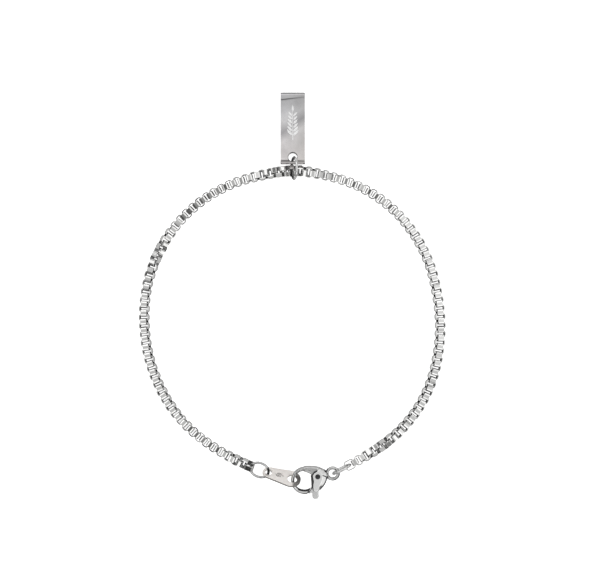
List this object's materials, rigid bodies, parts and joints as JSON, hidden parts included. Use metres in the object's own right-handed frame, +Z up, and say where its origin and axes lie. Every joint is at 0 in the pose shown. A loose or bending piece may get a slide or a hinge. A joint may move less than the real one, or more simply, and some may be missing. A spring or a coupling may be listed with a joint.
{
  "type": "chain bracelet",
  "caption": "Fine box-chain bracelet with a bar tag on a jump ring, a teardrop end plate and a lobster clasp whose lever opens.",
  "frame": {"origin": "middle of the chain's loop, on the surface that the bracelet lies on", "axes": "+Z up out of the surface, +Y from the middle of the loop to the tag, +X to the right of the clasp's plate"},
  "size_m": [0.0588, 0.0779, 0.0044],
  "materials": {
    "chain_steel": "polished",
    "tag_steel": "polished",
    "ring_steel": "polished",
    "plate_steel": "satin",
    "clasp_steel": "polished",
    "lever_steel": "satin",
    "rivet_steel": "darkened"
  },
  "bodies": {
    "bracelet": {"chain_left": "chain_steel", "chain_right": "chain_steel", "tag": "tag_steel", "tag_ring": "ring_steel", "plate_ring": "ring_steel", "end_plate": "plate_steel", "clasp_body": "clasp_steel", "clasp_rivet": "rivet_steel", "clasp_ring": "ring_steel"},
    "lever": {"clasp_lever": "lever_steel"}
  },
  "joints": [
    {"name": "lever_hinge", "type": "hinge", "parent": "bracelet", "child": "lever", "pos_m": [0.00466, -0.02943, 0.00146], "axis": [0.038, -0.1606, 0.9863], "range_deg": [0, 25], "stiffness_Nm_per_rad": 0.00002, "springref_deg": -11.46}
  ]
}
